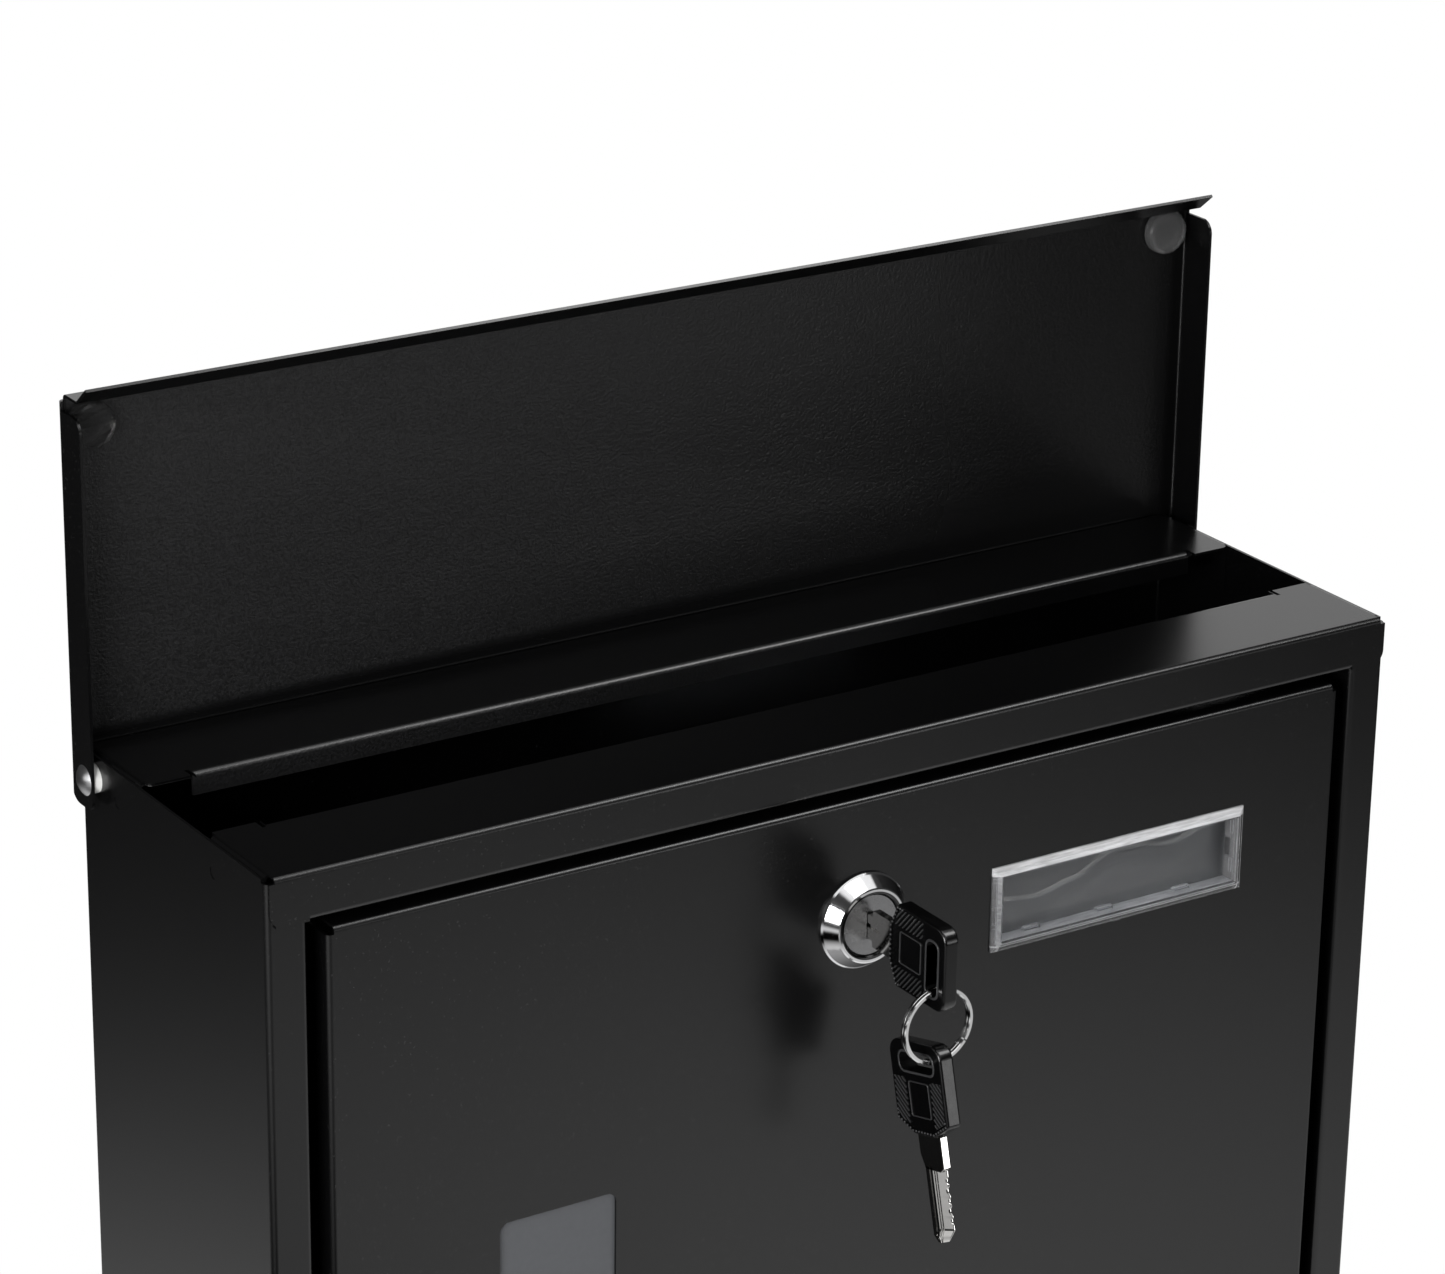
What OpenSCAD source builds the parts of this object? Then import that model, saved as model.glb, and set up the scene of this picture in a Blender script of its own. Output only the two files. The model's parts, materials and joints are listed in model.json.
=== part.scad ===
// Wall mounted mailbox. A casing folded from thin sheet carries a hinged lid over a letter slot
// and a drop-down door with a cam lock, a name plate and a narrow window.
// Origin at the centre of the four wall holes, on the back face. +Z is up, the front faces -Y.

/* [Casing] */
// Width over the side walls
body_w = 360; // [320:1:420]
// Depth from the wall to the front face
body_d = 105; // [100:1:140]
// Height over the top and bottom strips
body_h = 320; // [290:1:420]
// Thickness of every folded sheet
sheet = 0.8; // [0.6:0.1:1.0]
// Inside radius of every fold
fold_r = 0.8; // [0.4:0.1:1.0]
// Width of the jamb beside the door
jamb_w = 11.8; // [10:0.1:16]
// Height of the rail above the door, and of the one below it
rail_h = 13.8; // [12:0.1:20]
// Depth of the lips that the jambs turn inwards
jamb_lip = 15.2; // [12:0.1:18]
// Depth of the lip behind the top rail, which the cam catches
strike_lip = 16; // [12:0.1:16]
// Depth of the lip behind the bottom rail
sill_lip = 8; // [5:0.1:8]
// Depth of the tabs that join the strips to the walls
tab_d = 15.5; // [12:0.1:20]

/* [Letter slot] */
// Distance from the wall to the slot's rear edge
slot_rear = 33.5; // [28:0.1:40]
// Distance from the wall to the slot's front edge
slot_front = 72.5; // [60:0.1:76]
// Depth of the lips that turn down at the slot
slot_lip = 6.5; // [5:0.1:9]
// Distance from the middle to the end of those lips
slot_lip_x = 164; // [140:0.1:167]

/* [Wall fixing] */
// Distance between the wall holes from side to side
wall_x = 280; // [200:1:300]
// Distance between the wall holes from top to bottom
wall_z = 230; // [180:1:250]
// Diameter of the wall holes
wall_hole_d = 6.5; // [5:0.1:8]

/* [Lid] */
// Height of the open lid above the casing
lid_rise = 97.5; // [90:0.1:98]
// Depth of the lid's side flanges
lid_flange = 12.6; // [11:0.1:14]
// Distance from the hinge axis back to the lid's outer face
lid_offset = 8.2; // [8:0.1:8.3]
// Distance from the wall to the hinge axis
lid_axis_y = 8.5; // [8.5:0.1:10]
// Distance from the casing's top down to the hinge axis
lid_axis_drop = 7; // [6:0.1:8]
// Room for the spacer between wall and flange
lid_gap = 2.4; // [1.5:0.1:3]
// Depth of the skirt at the lid's free end
skirt_d = 8; // [6:0.1:9]
// Length of the flared finger lip
flare_l = 7; // [4:0.1:8]
// Angle of the flared finger lip to the skirt
flare_a = 40; // [20:1:60]
// Height of the bumper pads above the casing's top, left and right, stuck on by hand
bumper_up = [88.5, 89.2]; // [86:0.1:89.2]
// Distance of the bumper pads from the middle, left and right
bumper_out = [174.9, 174]; // [160:0.1:175]
// Diameter of the bumper pads
bumper_d = 13.2; // [10:0.1:13.2]
// Thickness of the bumper pads
bumper_t = 3.5; // [2.5:0.1:4]

/* [Door] */
// Gap between the door and each jamb
door_gap = 4.8; // [3:0.1:6]
// Gap between the door and the top and bottom rails
door_gap_z = 3.1; // [2:0.1:4]
// Depth of the door's flanges
door_flange = 12; // [10:0.1:12]
// Distance from the front face back to the door's hinge axis
door_axis_in = 6; // [5:0.1:7]
// Distance from the door's lower edge up to its hinge axis
door_axis_up = 7; // [6:0.1:8]
// Width of the window
window_w = 36; // [20:1:60]
// Height of the window
window_h = 140; // [60:1:160]
// Distance from the middle of the door to the window's near edge
window_in = 77.5; // [60:0.1:90]
// Distance from the casing's top down to the window
window_drop = 114; // [80:1:130]

/* [Name plate] */
// Width of the name plate holder
plate_w = 87.3; // [60:0.1:100]
// Height of the name plate holder
plate_h = 25.3; // [18:0.1:30]
// Distance from the middle of the door to the holder's near end
plate_x = 43.1; // [40:0.1:60]
// Distance from the casing's top down to the holder
plate_drop = 47.3; // [30:0.1:60]
// Width of the holder's rim in front of the door
plate_rim = 2.7; // [2.2:0.1:4]
// Depth of the holder's tray behind the door's face
plate_deep = 3.7; // [2:0.1:6]

/* [Lock] */
// Distance from the casing's top down to the lock's axis
lock_drop = 52.5; // [50:0.1:54]
// Diameter of the rosette at the door
rosette_d = 27.8; // [26:0.1:30]
// Diameter of the threaded barrel
barrel_d = 18.8; // [18:0.1:19]
// Reach of the cam from the lock's axis
cam_reach = 44; // [42:0.1:46]
// Clearance of every turning fit, on the radius
fit = 0.06; // [0.03:0.01:0.1]

/* [Keys] */
// Distance from the door's face to the bow of the key in the lock
key_out = 15.8; // [14:0.1:20]
// Length of the blade that stands out of the bow
blade_l = 30; // [27:0.1:31]
// Length of the bow along the key
bow_l = 26; // [25:0.1:30]
// Width of the bow across the key
bow_w = 24.2; // [22:0.1:28]
// Thickness of the bow
bow_t = 4.6; // [4:0.1:6]
// Mean radius of the split ring
ring_r = 10.5; // [10:0.1:13]
// Angle at which the spare key hangs
spare_tilt = 15; // [10:1:20]

/* [Hidden] */
$fn = 48;

powder_black = [0.10, 0.10, 0.105];
clear_grey = [0.62, 0.64, 0.66];
nylon_white = [0.85, 0.85, 0.83];
chrome_grey = [0.80, 0.81, 0.83];
key_black = [0.07, 0.07, 0.075];

fold_o = sheet + fold_r;
half_w = body_w / 2;
half_h = body_h / 2;
in_x = half_w - sheet;
open_x = half_w - jamb_w;
plate_end = in_x - fold_o;
jamb_y = -body_d + sheet;
lid_x = half_w + lid_gap + sheet;
lid_axis = [0, -lid_axis_y, half_h - lid_axis_drop];
lid_back = lid_offset - lid_axis_y;
lid_front = lid_back - lid_flange;
lid_top = half_h + lid_rise;
door_x = open_x - door_gap;
door_top = half_h - rail_h - door_gap_z;
door_axis = [0, -body_d + door_axis_in, -door_top + door_axis_up];
rivet_d = 4;
lock_z = half_h - lock_drop;
plug_r = 6.5;
face_r = 8.9;
barrel_l = 16.4;
cam_t = 1.6;
slot_w = 5;
slot_l = 15.6;
slot_c = 20.3;
bow_up = 0.6;
wire_gap = 1.5;
wire_w = 2.2;
wire_h = 1.3;
key_pos = [0, -body_d - key_out, lock_z];
ring_top = key_pos + [0, -slot_c, wire_gap - slot_l / 2];
ring_pos = ring_top - [0, 0, ring_r];
spare_hook = ring_top - [0, 0, 2 * ring_r];

// ---- Folded sheet ----

// Part of a bend: a ring sector that starts at an angle and spans another
module bend(from, span) {
    intersection() {
        difference() {
            circle(r = fold_o);
            circle(r = fold_r);
        }
        polygon(concat([[0, 0]], [for (k = [0:2]) let (a = from + k * span / 2) 3 * fold_o * [cos(a), sin(a)]]));
    }
}

// Section of a folded sheet, walked along one face with the metal on the left.
// Each run is [straight length, angle of the bend after it], and the last angle is 0.
module sheetRun(runs, k = 0) {
    a = runs[k][1];
    square([runs[k][0], sheet]);
    if (a > 0) {
        translate([runs[k][0], fold_o]) bend(-90, a);
        translate([runs[k][0] + fold_o * sin(a), fold_o * (1 - cos(a))]) rotate(a) sheetRun(runs, k + 1);
    }
    if (a < 0) {
        translate([runs[k][0], -fold_r]) bend(90 + a, -a);
        translate([runs[k][0] - fold_r * sin(a), -fold_r * (1 - cos(a))]) rotate(a) sheetRun(runs, k + 1);
    }
}

// Sweeps a section drawn in Y and Z along X, from one end to the other
module alongX(from, to) {
    translate([from, 0, 0]) rotate([90, 0, 90]) linear_extrude(to - from) children();
}

// Sweeps a section drawn in X and Z along Y, from one end to the other
module alongY(from, to) {
    translate([0, to, 0]) rotate([90, 0, 0]) linear_extrude(to - from) children();
}

// Draws the children on both sides of the middle
module bothSides() {
    children();
    mirror([1, 0, 0]) children();
}

// Waste outside a rounded corner, at the upper right of a section
module cornerWaste(r) {
    difference() {
        translate([-r, -r]) square(r + 1);
        translate([-r, -r]) circle(r = r);
    }
}

// Rectangle with round corners, from its lower left to its upper right
module roundRect(low, high, r) {
    difference() {
        translate(low) square(high - low);
        for (sx = [-1, 1], sy = [-1, 1])
            translate([sx > 0 ? high[0] : low[0], sy > 0 ? high[1] : low[1]]) scaleSigns(sx, sy) cornerWaste(r);
    }
}

// Mirrors a section across one or both axes
module scaleSigns(sx, sy) {
    mirror([sx < 0 ? 1 : 0, 0]) mirror([0, sy < 0 ? 1 : 0]) children();
}

// Cylinder along X between two stations
module pinX(from, to, d) {
    translate([from, 0, 0]) rotate([0, 90, 0]) cylinder(d = d, h = to - from);
}

// Cylinder along Y between two stations
module pinY(from, to, d) {
    translate([0, to, 0]) rotate([90, 0, 0]) cylinder(d = d, h = to - from);
}

// ---- Casing ----

// Four holes or whatever else sits at the wall fixings
module atWallHoles() {
    for (sx = [-1, 1], sz = [-1, 1]) translate([sx * wall_x / 2, 0, sz * wall_z / 2]) children();
}

module casing() {
    wall = body_d - sheet;
    color(powder_black) difference() {
        union() {
            translate([0, 0, -half_h + sheet]) linear_extrude(body_h - 2 * sheet)
                translate([open_x, jamb_y + jamb_lip]) rotate(-90) sheetRun([
                    [jamb_lip - fold_o, 90], [jamb_w - 2 * fold_o, 90], [wall - 2 * fold_o, 90],
                    [body_w - 2 * fold_o, 90], [wall - 2 * fold_o, 90], [jamb_w - 2 * fold_o, 90],
                    [jamb_lip - fold_o, 0]]);
            translate([-plate_end, -sheet, 0]) cube([2 * plate_end, sheet, half_h]);
        }
        atWallHoles() pinY(-2, 1, wall_hole_d);
        bothSides() {
            translate(lid_axis) pinX(in_x - 1, half_w + 1, rivet_d);
            translate(door_axis) pinX(open_x - 1, open_x + 2, rivet_d);
            for (p = [[-21.3, 9.3], [-76, 8.8]], sz = [-1, 1])
                translate([0, p[0], sz * (half_h - p[1])]) pinX(half_w - 0.15, half_w + 1, 3.6);
            for (sz = [-1, 1]) translate([open_x - 1, jamb_y - 1, sz > 0 ? half_h - fold_o - 0.2 : -half_h])
                cube([jamb_w + 2, 3.2, fold_o + 0.2]);
        }
    }
}

// Tabs that turn down inside both side walls, between two stations from the wall
module sideTabs(near, far) {
    bothSides() alongY(-far, -near)
        translate([in_x, half_h - tab_d]) rotate(90) sheetRun([[tab_d - fold_o, 90], [0.6, 0]]);
}

// Rail in front of the jambs, from the end of the opening to the side wall
module railEnd(edge) {
    front = body_d - edge - fold_o;
    bothSides() {
        alongX(open_x - 0.2, plate_end) translate([-edge, half_h]) rotate(180)
            sheetRun([[front, 90], [rail_h - fold_o, 0]]);
        difference() {
            alongX(plate_end - 0.2, in_x) translate([-body_d, half_h - rail_h]) square([sheet, rail_h - fold_o]);
            translate([in_x, -body_d, half_h - rail_h]) rotate([90, 0, 0]) translate([0, 0, -2])
                linear_extrude(4) scaleSigns(1, -1) cornerWaste(4);
        }
    }
}

module topFrontPanel() {
    rail = [rail_h - 2 * fold_o, 90];
    lip = [strike_lip - fold_o, 0];
    end_edge = slot_front - 1.5;
    color(powder_black) difference() {
        union() {
            alongX(-slot_lip_x, slot_lip_x) translate([-slot_front, half_h - slot_lip]) rotate(90)
                sheetRun([[slot_lip - fold_o, 90], [body_d - slot_front - 2 * fold_o, 90], rail, lip]);
            bothSides() alongX(slot_lip_x - 0.2, open_x) translate([-end_edge, half_h]) rotate(180)
                sheetRun([[body_d - end_edge - fold_o, 90], rail, lip]);
            railEnd(end_edge);
            sideTabs(end_edge + 2, body_d - 3);
        }
        bothSides() translate([slot_lip_x, -slot_front - 2.4, half_h - 3]) cube([1.2, 5, 5]);
    }
}

module topRearPanel() {
    back = [13.4, 90];
    end_edge = slot_rear + 1.5;
    color(powder_black) difference() {
        union() {
            alongX(-slot_lip_x, slot_lip_x) translate([-sheet, half_h - 15]) rotate(90)
                sheetRun([back, [slot_rear - sheet - 2 * fold_o, 90], [slot_lip - fold_o, 0]]);
            bothSides() alongX(slot_lip_x - 0.2, plate_end) translate([-sheet, half_h - 15]) rotate(90)
                sheetRun([back, [end_edge - sheet - fold_o, 0]]);
            sideTabs(3.5, end_edge - 2);
        }
        bothSides() {
            translate([slot_lip_x, -slot_rear - 2.6, half_h - 3]) cube([1.2, 5, 5]);
            translate(lid_axis) pinX(in_x - 2, in_x + 1, rivet_d);
            translate([plate_end, -end_edge, 0]) linear_extrude(half_h + 1) scaleSigns(1, -1) cornerWaste(2);
        }
    }
}

module bottomPanel() {
    color(powder_black) mirror([0, 0, 1]) {
        alongX(-open_x, open_x) translate([-sheet, half_h - 15]) rotate(90) sheetRun([
            [13.4, 90], [body_d - sheet - 2 * fold_o, 90], [rail_h - 2 * fold_o, 90], [sill_lip - fold_o, 0]]);
        bothSides() alongX(open_x - 0.2, plate_end) translate([-sheet, half_h - 15]) rotate(90)
            sheetRun([[13.4, 90], [body_d / 2, 0]]);
        railEnd(body_d / 2);
        sideTabs(3.5, body_d - 3);
    }
}

// Rivet along X: a domed head outwards from one station, and a set head at the other
module rivet(set_at, head_at) {
    pinX(set_at, head_at + 0.1, rivet_d);
    translate([set_at - 1.2, 0, 0]) rotate([0, 90, 0]) cylinder(d1 = 5.4, d2 = 6.6, h = 1.2);
    translate([head_at, 0, 0]) rotate([0, 90, 0]) rotate_extrude() intersection() {
        translate([0, -4.4]) circle(r = 6.1);
        square([4.3, 4]);
    }
}

module lidRivets() {
    color(chrome_grey) bothSides() translate(lid_axis) rivet(in_x - sheet, lid_x + 0.1);
}

module lidSpacers() {
    color(nylon_white) bothSides() translate(lid_axis) difference() {
        pinX(half_w, half_w + lid_gap - 0.1, 8);
        pinX(half_w - 1, half_w + lid_gap + 1, rivet_d);
    }
}

module doorRivets() {
    color(chrome_grey) bothSides() translate(door_axis) mirror([1, 0, 0])
        rivet(-open_x - sheet, -door_x + sheet + 0.1);
}

module doorSpacers() {
    color(nylon_white) bothSides() translate(door_axis) difference() {
        pinX(door_x + 0.1, open_x, 8);
        pinX(door_x - 1, open_x + 1, rivet_d);
    }
}

// ---- Lid ----

module lidPanel() {
    skirt_x = lid_x - fold_o;
    flange_low = lid_axis[2] - 7.8;
    flange_top = lid_top - fold_o;
    color(powder_black) difference() {
        union() {
            translate([0, 0, flange_low]) linear_extrude(flange_top - flange_low)
                translate([lid_x, lid_front]) rotate(90) sheetRun([
                    [lid_flange - fold_o, 90], [2 * lid_x - 2 * fold_o, 90], [lid_flange - fold_o, 0]]);
            alongX(-skirt_x, skirt_x) translate([lid_back, flange_top - 0.4]) rotate(90)
                sheetRun([[0.4, 90], [skirt_d - fold_o - 0.3, -flare_a], [flare_l, 0]]);
        }
        translate([-half_w - 0.35, lid_back - fold_o, flange_low - 1])
            cube([2 * half_w + 0.7, 10, half_h + 1.2 - flange_low]);
        bothSides() {
            translate(lid_axis) pinX(half_w, lid_x + 1, rivet_d + 2 * fit + 0.04);
            alongX(half_w, lid_x + 1) {
                translate([lid_back, flange_low]) scaleSigns(1, -1) cornerWaste(5);
                translate([lid_front, flange_low]) scaleSigns(-1, -1) cornerWaste(3);
                translate([lid_front, lid_top - 4]) scaleSigns(-1, 1) cornerWaste(4);
            }
            translate([skirt_x + 0.3, lid_back - fold_o - 20, lid_top - 4]) cube([6, 20, 12]);
        }
    }
}

module lidBumpers() {
    color(clear_grey) for (k = [0, 1])
        translate([(2 * k - 1) * bumper_out[k], lid_back - sheet, half_h + bumper_up[k]]) rotate([90, 0, 0])
            rotate_extrude()
            polygon([[0, 0], [bumper_d / 2, 0], [bumper_d / 2, bumper_t - 1],
                [bumper_d / 2 - 0.4, bumper_t - 0.3], [bumper_d / 2 - 1.1, bumper_t], [0, bumper_t]]);
}

// ---- Door ----

module doorPanel() {
    inner_x = door_x - fold_o - 0.6;
    inner_z = door_top - fold_o - 0.6;
    flange = door_flange - fold_o;
    window_x = -window_in - window_w;
    window_z = half_h - window_drop;
    color(powder_black) difference() {
        union() {
            translate([0, 0, -inner_z]) linear_extrude(2 * inner_z)
                translate([-door_x, -body_d + door_flange]) rotate(-90)
                sheetRun([[flange, 90], [2 * door_x - 2 * fold_o, 90], [flange, 0]]);
            alongX(-inner_x, inner_x) translate([-body_d + door_flange, door_top]) rotate(180)
                sheetRun([[flange, 90], [2 * door_top - 2 * fold_o, 90], [flange, 0]]);
        }
        alongY(-body_d - 1, -body_d + 2) {
            translate([0, lock_z]) intersection() {
                circle(d = barrel_d + 0.4);
                square([barrel_d - 2.2, barrel_d + 2], center = true);
            }
            roundRect([window_x, window_z - window_h], [window_x + window_w, window_z], 3);
            plateRect(1.7);
        }
        bothSides() translate(door_axis) pinX(door_x - 2, door_x + 1, rivet_d + 2 * fit + 0.04);
    }
}

module windowPane() {
    lap = 7;
    low = [-window_in - window_w - lap, half_h - window_drop - window_h - lap];
    color(clear_grey) alongY(-body_d + sheet, -body_d + sheet + 2)
        roundRect(low, low + [window_w + 2 * lap, window_h + 2 * lap], 2);
}

// Outline of the name plate holder, reduced all round
module plateRect(inset, r = 0.8) {
    low = [plate_x + inset, half_h - plate_drop - plate_h + inset];
    roundRect(low, low + [plate_w - 2 * inset, plate_h - 2 * inset], r);
}

// Block between two rectangles in front of the door: a band of the holder's bevelled rim
module plateBand(inset1, out1, inset2, out2) {
    hull() for (b = [[inset1, out1], [inset2, out2]])
        translate([plate_x + b[0], -body_d - b[1] - 0.005, half_h - plate_drop - plate_h + b[0]])
            cube([plate_w - 2 * b[0], 0.01, plate_h - 2 * b[0]]);
}

// The holder is a shallow tray that snaps into the door from the front, with a bevelled rim
module plateHolder() {
    low_z = half_h - plate_drop - plate_h;
    floor_y = -body_d + plate_deep;
    color(clear_grey) {
        difference() {
            union() {
                plateBand(0, 0, 0, 0.6);
                plateBand(0, 0.6, 1.1, 1.3);
                plateBand(1.4, 1.3, 2.1, 1.9);
                alongY(-body_d - 0.1, floor_y + 1) plateRect(1.9);
            }
            alongY(-body_d - 5, floor_y) plateRect(plate_rim, 0.6);
        }
        for (f = [0.18, 0.47, 0.78])
            translate([plate_x + f * plate_w - 2.7, floor_y - 2.2, low_z + plate_rim - 0.1]) cube([5.4, 1.6, 1.1]);
        for (sx = [-1, 1]) translate([plate_x + plate_w / 2, 0, low_z + plate_h / 2]) {
            translate([sx * (plate_w / 2 - plate_rim - 0.3) - 0.4, floor_y - 2.6, -2.6]) cube([0.8, 2, 5.2]);
            for (z = [-6, 6]) translate([sx * (plate_w / 2 - 1.6) - 0.4, -body_d + sheet + 0.05, z - 2])
                cube([0.8, 1.2, 4]);
        }
        translate([plate_x + plate_w / 2 - 1.5, -body_d - 0.6, low_z - 0.35]) cube([3, 0.6, 0.5]);
    }
}

module plateFilm() {
    color(clear_grey) alongY(-body_d + plate_deep - 0.5, -body_d + plate_deep) plateRect(plate_rim + 0.1, 0.5);
}

// ---- Lock ----

// Places the children on the lock's axis: local +Z points out of the door, 0 is the door's face
module atLock() {
    translate([0, -body_d, lock_z]) rotate([90, 0, 0]) children();
}

// Outline of a V thread down a barrel, from one depth to another
function threadPoints(r, from, to, pitch) = [for (k = [0:floor((from - to) / pitch) - 1])
    each [[r, from - k * pitch], [r - 0.45, from - (k + 0.5) * pitch]]];

module lockHousing() {
    r = barrel_d / 2;
    color(chrome_grey) atLock() difference() {
        rotate_extrude($fn = 64) polygon(concat(
            [[plug_r + fit, -barrel_l], [plug_r + fit, 2], [face_r + fit, 2], [face_r + fit, 4.2],
                [9.3, 4.9], [9.6, 5], [10.5, 5], [10.9, 4.8], [11.3, 4.2], [rosette_d / 2 - 0.5, 1.1], [rosette_d / 2, 0.7],
                [rosette_d / 2, 0], [r, 0]],
            threadPoints(r, -2, -barrel_l + 0.4, 1.5), [[r - 0.4, -barrel_l]]));
        for (sx = [-1, 1]) translate([sx * (barrel_d / 2 - 1.3 + 5), 0, -barrel_l / 2 - 0.5])
            cube([10, 40, barrel_l + 1], center = true);
    }
}

module lockNut() {
    color(chrome_grey) atLock() translate([0, 0, -sheet - 4]) difference() {
        intersection() {
            cylinder(d = 24 / cos(30), h = 4, $fn = 6);
            rotate_extrude() polygon([[0, 0], [12.6, 0], [13.9, 0.8], [13.9, 4], [0, 4]]);
        }
        translate([0, 0, -1]) cylinder(d = barrel_d, h = 6);
    }
}

module lockPlug() {
    slot_deep = blade_l - key_out + 0.4;
    color(chrome_grey) atLock() difference() {
        union() {
            rotate_extrude($fn = 64) polygon([[0, -barrel_l - 0.2], [plug_r, -barrel_l - 0.2], [plug_r, 2.1],
                [face_r, 2.1], [face_r, 3.8], [face_r - 0.3, 4.1], [0, 4.1]]);
            translate([-3.5, -3.5, -barrel_l - 0.2 - cam_t]) cube([7, 7, cam_t + 1]);
        }
        translate([-1.25, -3.9, -slot_deep]) cube([2.5, 7.8, slot_deep + 6]);
        translate([0, 0, -barrel_l - cam_t - 1]) cylinder(d = 3.3, h = 3.6);
    }
}

module lockCam() {
    color(chrome_grey) atLock() translate([0, 0, -barrel_l - 0.2 - cam_t]) linear_extrude(cam_t) difference() {
        union() {
            circle(r = 9);
            translate([0, -7]) square([cam_reach - 7, 14]);
            translate([cam_reach - 7, 0]) circle(r = 7);
        }
        square(7.1, center = true);
    }
}

module camWasher() {
    color(chrome_grey) atLock() translate([0, 0, -barrel_l - 0.2 - cam_t - 0.8]) difference() {
        cylinder(d = 11, h = 0.8);
        translate([0, 0, -1]) cylinder(d = 4.3, h = 3);
    }
}

module camScrew() {
    color(chrome_grey) atLock() translate([0, 0, -barrel_l - 1 - cam_t]) difference() {
        union() {
            rotate_extrude() polygon([[0, -2.6], [2.4, -2.6], [3.6, -1.6], [3.8, -0.6], [3.8, 0], [0, 0]]);
            cylinder(d = 3.2, h = 3.6);
        }
        for (a = [0, 90]) rotate(a) translate([-2.2, -0.45, -3]) cube([4.4, 0.9, 1.8]);
    }
}

// ---- Keys ----

// Key blade along +Y from the bow's edge, with its tang inside the bow
module blade() {
    cuts = [[12.6, 0.9], [15.4, 1.3], [18.2, 0.7], [21, 1.2], [23.8, 0.8]];
    difference() {
        alongX(-1.1, 1.1) difference() {
            polygon([[-12, -4], [0, -4], [0, -5.35], [9, -5.35], [9.4, -3.6], [blade_l - 3.6, -3.6],
                [blade_l - 0.3, 0.9], [blade_l, 1.9], [blade_l - 1.4, 3.6], [9.4, 3.6], [9, 5.35], [0, 5.35],
                [0, 4], [-12, 4]]);
            for (c = cuts) polygon([[c[0] - 0.5 - c[1], -3.7], [c[0] - 0.5, c[1] - 3.7], [c[0] + 0.5, c[1] - 3.7],
                [c[0] + 0.5 + c[1], -3.7]]);
        }
        translate([0.6, 6, -1.9]) cube([1, blade_l, 1.5]);
        translate([-1.6, 6, -0.3]) cube([1, blade_l, 1.3]);
    }
}

// Outline of the bow: cut corners at the blade, round ones at the ring
module bowOutline(inset) {
    e = bow_w / 2 - inset;
    hull() {
        for (s = [-1, 1]) translate([4 - bow_l, s * (bow_w / 2 - 4)]) circle(r = 4 - inset, $fn = 32);
        polygon([[-inset, -4.6], [-inset, 4.6], [-3.6, e], [-3.6, -e]]);
    }
}

module bow() {
    slot = [slot_w / 2, slot_l / 2];
    difference() {
        translate([0, 0, bow_up]) hull() {
            alongX(-bow_t / 2 + 0.7, bow_t / 2 - 0.7) bowOutline(0);
            alongX(-bow_t / 2, bow_t / 2) bowOutline(0.7);
        }
        alongX(-bow_t, bow_t) roundRect([-slot_c, 0] - slot, [-slot_c, 0] + slot, 1.2);
        translate([-1.1, -12, -4]) cube([2.2, 13, 8]);
        bothSides() alongX(bow_t / 2 - 0.3, bow_t) difference() {
            roundRect([2.2 - bow_l, bow_up + 2.2 - bow_w / 2], [-4.4, bow_up + bow_w / 2 - 2.2], 2.4);
            roundRect([-slot_c - 1.1, -1.1] - slot, [1.1 - slot_c, 1.1] + slot, 2.2);
        }
    }
}

// Places a key on the ring's lowest point, tip down
module hungKey() {
    translate(spare_hook) rotate([-90 - spare_tilt, 0, 0])
        translate([0, slot_c + slot_w / 2 - wire_gap, slot_l / 2 - wire_gap]) children();
}

module keyBlade() {
    color(chrome_grey) translate(key_pos) blade();
}

module keyBow() {
    color(key_black) translate(key_pos) bow();
}

module spareKeyBlade() {
    color(chrome_grey) hungKey() blade();
}

module spareKeyBow() {
    color(key_black) hungKey() bow();
}

// Split ring: two turns of flat wire lie side by side, and each ends at a small gap
module keyRing() {
    w = wire_w / 2;
    h = wire_h / 2;
    c = 0.25;
    color(chrome_grey) translate(ring_pos) rotate([90, 0, 0]) difference() {
        rotate_extrude($fn = 96) translate([ring_r, 0]) polygon([
            [-h + c, -w], [h - c, -w], [h, -w + c], [h, -0.12], [h - 0.12, 0], [h, 0.12], [h, w - c], [h - c, w],
            [-h + c, w], [-h, w - c], [-h, 0.12], [-h + 0.12, 0], [-h, -0.12], [-h, -w + c]]);
        rotate(-35) translate([ring_r - 2, -0.2, 0]) cube([4, 0.4, 2]);
        rotate(-62) translate([ring_r - 2, -0.2, -2]) cube([4, 0.4, 2]);
    }
}

casing();
topFrontPanel();  // top_front_panel
topRearPanel();  // top_rear_panel
bottomPanel();  // bottom_panel
lidRivets();  // lid_rivets
lidSpacers();  // lid_spacers
doorRivets();  // door_rivets
doorSpacers();  // door_spacers
lidPanel();  // lid_panel
lidBumpers();  // lid_bumpers
doorPanel();  // door_panel
windowPane();  // window_pane
plateHolder();  // plate_holder
plateFilm();  // plate_film
lockHousing();  // lock_housing
lockNut();  // lock_nut
lockPlug();  // lock_plug
lockCam();  // lock_cam
camWasher();  // cam_washer
camScrew();  // cam_screw
keyBlade();  // key_blade
keyBow();  // key_bow
keyRing();  // key_ring
spareKeyBlade();  // spare_key_blade
spareKeyBow();  // spare_key_bow
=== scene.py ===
import json
import math

import bmesh
import bpy
from mathutils import Matrix, Vector


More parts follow.
